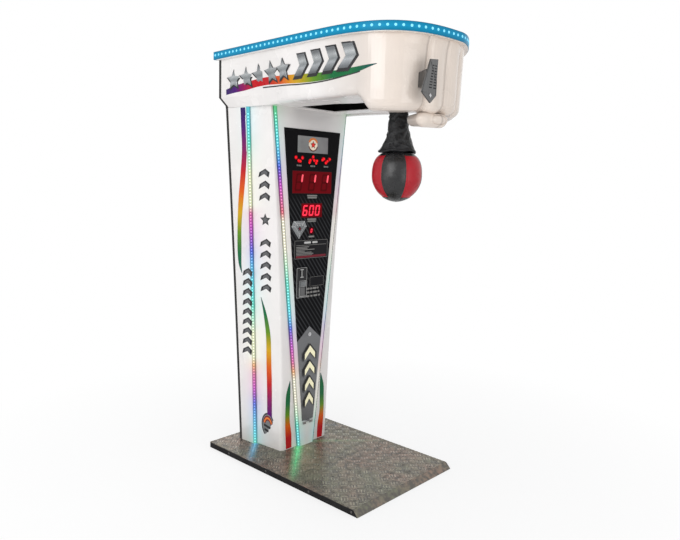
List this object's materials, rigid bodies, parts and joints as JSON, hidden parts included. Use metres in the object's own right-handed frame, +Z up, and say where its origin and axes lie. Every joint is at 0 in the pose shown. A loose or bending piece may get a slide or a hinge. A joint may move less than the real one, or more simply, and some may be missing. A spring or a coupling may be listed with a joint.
{
  "type": "boxing arcade machine",
  "caption": "Free-standing boxing arcade machine: tapered column on a tread-plate platform, overhanging fist-shaped head and a leather ball on a swinging arm.",
  "frame": {"origin": "on the floor, under the middle of the whole machine", "axes": "+Z up, -Y towards the player, +X to the right as seen by the player"},
  "size_m": [0.874, 1.36, 2.25],
  "materials": {
    "moulded_white": "gloss",
    "tread_steel": "satin, raised tread pattern",
    "black_steel": "satin",
    "bright_steel": "bright",
    "frame_steel": "matt",
    "black_board": "satin black laminate on board",
    "light_lens": "diffusing lens, lit",
    "blue_lens": "diffusing lens, lit",
    "dark_acrylic": "gloss, dark woven pattern",
    "module_case": "dark red face",
    "red_lens": "gloss",
    "silver_plastic": "metallised",
    "black_plastic": "satin",
    "chrome_trim": "polished",
    "brushed_door": "brushed",
    "brushed_dark": "brushed, dark",
    "galvanised": "dull",
    "bearing_iron": "painted",
    "ball_leather": "smooth, red and black panels",
    "sleeve_leather": "wrinkled",
    "soft_rubber": "matt",
    "sensor_plastic": "satin",
    "coil_plastic": "satin"
  },
  "bodies": {
    "machine": {"tread_plate": "tread_steel", "ramp_plate": "tread_steel", "side_rails": "black_steel", "cross_rails": "black_steel", "anchor_bolts": "bright_steel", "column_posts": "frame_steel", "head_beams": "frame_steel", "cross_beams": "frame_steel", "column_side_left": "moulded_white", "column_side_right": "moulded_white", "raised_front": "moulded_white", "rear_panel": "black_board", "side_light_left": "light_lens", "side_light_right": "light_lens", "front_light_left": "light_lens", "front_light_right": "light_lens", "display_panel": "dark_acrylic", "upper_window": "module_case", "score_lamps": "red_lens", "score_display": "module_case", "record_display": "module_case", "credit_display": "module_case", "diamond_badge": "silver_plastic", "rules_plate": "black_plastic", "coin_plate": "black_steel", "coin_unit": "black_plastic", "return_cup": "black_steel", "spare_plate": "black_plastic", "cash_hinge": "bright_steel", "cash_shelf": "frame_steel", "cash_box": "galvanised", "head_shell": "moulded_white", "thumb_moulding": "moulded_white", "head_underside": "moulded_white", "head_top": "moulded_white", "light_band": "blue_lens", "cavity_liner": "black_plastic", "crest": "brushed_dark", "pivot_bearings": "bearing_iron", "rest_bumper": "soft_rubber", "sensor_fork": "sensor_plastic", "latch_bracket": "galvanised", "latch_solenoid": "coil_plastic", "rear_hinges": "bright_steel", "control_box": "galvanised", "power_inlet": "black_plastic"},
    "arm": {"pivot_shaft": "bright_steel", "punch_arm": "frame_steel", "ball": "ball_leather", "arm_sleeve": "sleeve_leather", "sensor_disc": "bright_steel"},
    "latch": {"latch_hook": "bright_steel"},
    "plunger": {"latch_plunger": "bright_steel"},
    "reject": {"reject_button": "chrome_trim"},
    "flap": {"return_flap": "chrome_trim"},
    "cash_panel": {"cash_door": "brushed_door"},
    "cash_bolt": {"cash_lock": "chrome_trim"},
    "rear_panel_door": {"rear_door": "black_steel"},
    "rear_bolt": {"rear_lock": "chrome_trim"},
    "rocker": {"rocker_switch": "red_lens"}
  },
  "joints": [
    {"name": "arm_swing", "type": "hinge", "parent": "machine", "child": "arm", "pos_m": [0, -0.334, 2.05], "axis": [1, 0, 0], "range_deg": [-8, 90]},
    {"name": "latch_turn", "type": "hinge", "parent": "machine", "child": "latch", "pos_m": [0.012, -0.42, 2.125], "axis": [-1, 0, 0], "range_deg": [0, 14]},
    {"name": "latch_pull", "type": "slide", "parent": "machine", "child": "plunger", "axis": [0, 0, 1], "range_m": [0, 0.00856]},
    {"name": "coin_reject", "type": "slide", "parent": "machine", "child": "reject", "axis": [0, 1, 0], "range_m": [0, 0.003], "stiffness_N_per_m": 400, "springref_m": -0.0015},
    {"name": "return_lift", "type": "hinge", "parent": "machine", "child": "flap", "pos_m": [-0.064, 0.261, 0.97191], "axis": [1, 0, 0], "range_deg": [0, 55]},
    {"name": "cash_open", "type": "hinge", "parent": "machine", "child": "cash_panel", "pos_m": [0, 0.2605, 0.17791], "axis": [1, 0, 0], "range_deg": [0, 90]},
    {"name": "cash_key", "type": "hinge", "parent": "cash_panel", "child": "cash_bolt", "pos_m": [0, 0.2627, 0.69395], "axis": [0, 1, 0], "range_deg": [0, 90]},
    {"name": "rear_open", "type": "hinge", "parent": "machine", "child": "rear_panel_door", "pos_m": [-0.159, 0.61, 0.675], "axis": [0, 0, 1], "range_deg": [0, 110]},
    {"name": "rear_key", "type": "hinge", "parent": "rear_panel_door", "child": "rear_bolt", "pos_m": [0.119, 0.6083, 0.675], "axis": [0, -1, 0], "range_deg": [0, 90]},
    {"name": "mains_switch", "type": "hinge", "parent": "machine", "child": "rocker", "pos_m": [0.06, 0.602, 0.148], "axis": [1, 0, 0], "range_deg": [0, 16]}
  ],
  "couplings": [
    {"joint": "latch_pull", "follows": "latch_turn", "m_per_rad": 0.035}
  ]
}
